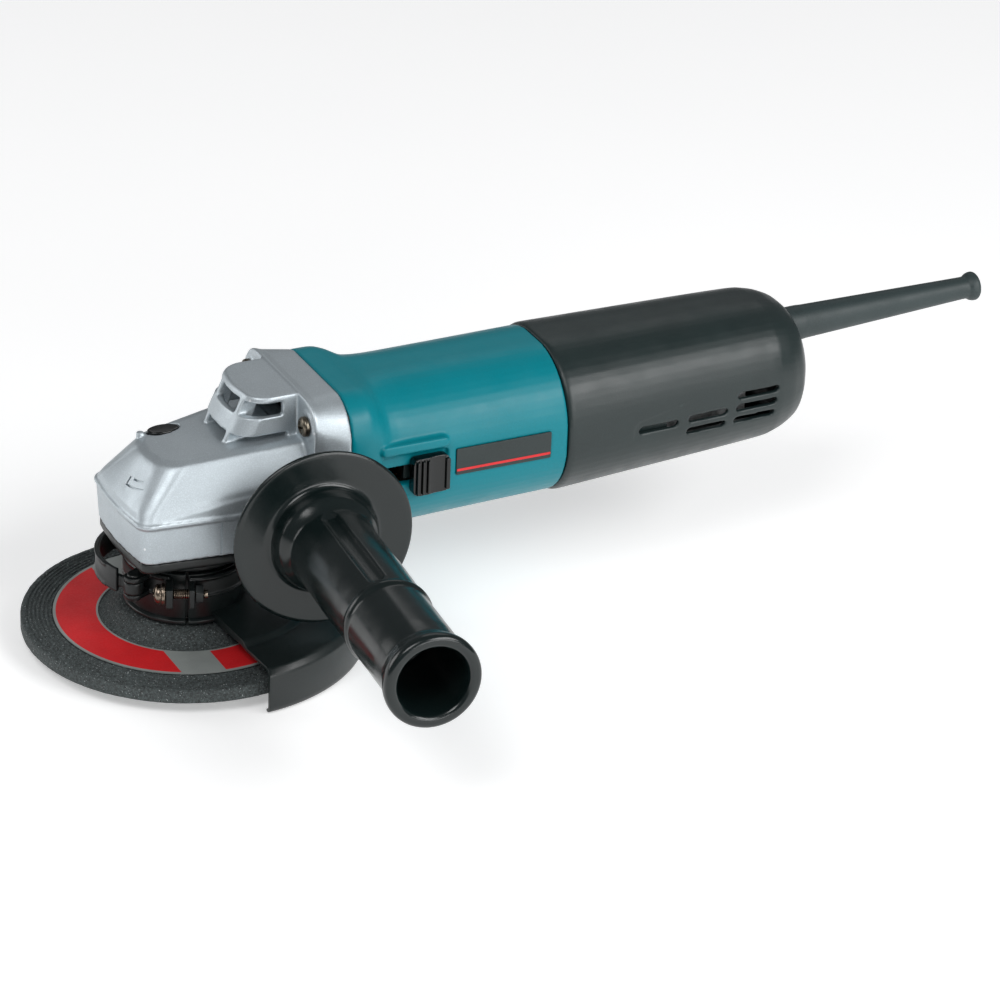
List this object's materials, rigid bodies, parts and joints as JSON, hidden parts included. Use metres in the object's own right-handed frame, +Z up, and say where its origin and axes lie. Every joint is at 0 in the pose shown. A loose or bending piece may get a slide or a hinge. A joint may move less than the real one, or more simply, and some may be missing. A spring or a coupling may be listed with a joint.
{
  "type": "angle grinder",
  "caption": "Angle grinder with an open wheel guard, depressed-centre grinding wheel, side handle, slide switch and shaft lock.",
  "frame": {"origin": "centre of the spindle's lower end face, level with the wheel's working face", "axes": "+X along the motor towards the cord end, +Z up the spindle, -Y towards the side handle"},
  "size_m": [0.4033, 0.2401, 0.1031],
  "materials": {
    "silver_paint": "satin silver-grey paint on die-cast metal",
    "black_coated_steel": "semi-gloss black coating",
    "steel": "bright machined steel",
    "aluminium": "plain die-cast aluminium",
    "abrasive": "coarse dark grey bonded abrasive",
    "label": "red printed ring",
    "dark_steel": "dark burnished steel",
    "black_paint": "gloss black paint",
    "black_plastic": "fine-textured dark grey moulding",
    "copper": "bare and enamelled copper",
    "brass": "pressed brass",
    "carbon": "pressed carbon",
    "pale_plastic": "pale moulding",
    "teal_plastic": "satin blue-green moulding",
    "gloss_black_plastic": "gloss black moulding",
    "rubber": "soft matt rubber"
  },
  "bodies": {
    "machine": {"gear_housing": "silver_paint", "bearing_retainer": "black_coated_steel", "spindle_bearing_outer": "steel", "spindle_bearing_balls": "steel", "spindle_top_bearing": "steel", "shaft_lock_spring": "steel", "front_bearing_outer": "steel", "rear_bearing_outer": "steel", "stator_core": "dark_steel", "field_coil_upper": "copper", "field_coil_lower": "copper", "brush_holder_left": "brass", "brush_holder_right": "brass", "carbon_brush_left": "carbon", "carbon_brush_right": "carbon", "motor_housing": "teal_plastic", "air_baffle": "black_plastic", "name_plate": "black_plastic", "switch_body": "aluminium", "rear_cover": "black_plastic", "cover_screw": "dark_steel", "cord_guard": "rubber", "side_handle": "gloss_black_plastic", "handle_stud": "steel", "housing_screw_1": "dark_steel", "retainer_screw_1": "dark_steel", "housing_screw_2": "dark_steel", "retainer_screw_2": "dark_steel", "housing_screw_3": "dark_steel", "retainer_screw_3": "dark_steel", "housing_screw_4": "dark_steel", "retainer_screw_4": "dark_steel"},
    "spindle_group": {"spindle": "steel", "drive_gear": "steel", "inner_flange": "steel", "lock_nut": "dark_steel", "grinding_wheel": "abrasive", "wheel_label": "label", "spindle_bearing_inner": "steel"},
    "armature_group": {"armature_shaft": "steel", "pinion": "steel", "pinion_nut": "steel", "front_bearing_inner": "steel", "rear_bearing_inner": "steel", "fan": "pale_plastic", "armature_core": "dark_steel", "armature_windings": "copper", "commutator": "copper"},
    "guard_group": {"wheel_guard": "black_paint", "guard_band": "black_coated_steel", "clamp_screw": "steel", "clamp_washer": "steel", "clamp_nut": "steel", "lever_pin": "dark_steel"},
    "lever_group": {"clamp_lever": "black_coated_steel"},
    "switch_slider": {"switch_knob": "gloss_black_plastic", "switch_rod": "black_plastic"},
    "lock_button_group": {"shaft_lock_button": "black_plastic", "shaft_lock_pin": "steel"}
  },
  "joints": [
    {"name": "spindle_spin", "type": "hinge", "parent": "machine", "child": "spindle_group", "pos_m": [0, 0, 0], "axis": [0, 0, 1], "continuous": true},
    {"name": "armature_spin", "type": "hinge", "parent": "machine", "child": "armature_group", "pos_m": [0, 0, 0.065], "axis": [1, 0, 0], "continuous": true},
    {"name": "guard_turn", "type": "hinge", "parent": "machine", "child": "guard_group", "pos_m": [0, 0, 0], "axis": [0, 0, 1], "range_deg": [-90, 65]},
    {"name": "clamp_lever_swing", "type": "hinge", "parent": "guard_group", "child": "lever_group", "pos_m": [-0.0265, -0.0125, 0], "axis": [0, 0, 1], "range_deg": [0, 100]},
    {"name": "switch_slide", "type": "slide", "parent": "machine", "child": "switch_slider", "axis": [-1, 0, 0], "range_m": [0, 0.008]},
    {"name": "shaft_lock_press", "type": "slide", "parent": "machine", "child": "lock_button_group", "axis": [0, 0, -1], "range_m": [0, 0.0032], "stiffness_N_per_m": 500, "springref_m": -0.002, "deforming": ["shaft_lock_spring"]}
  ],
  "couplings": [
    {"joint": "armature_spin", "follows": "spindle_spin", "ratio": 3.4545}
  ]
}
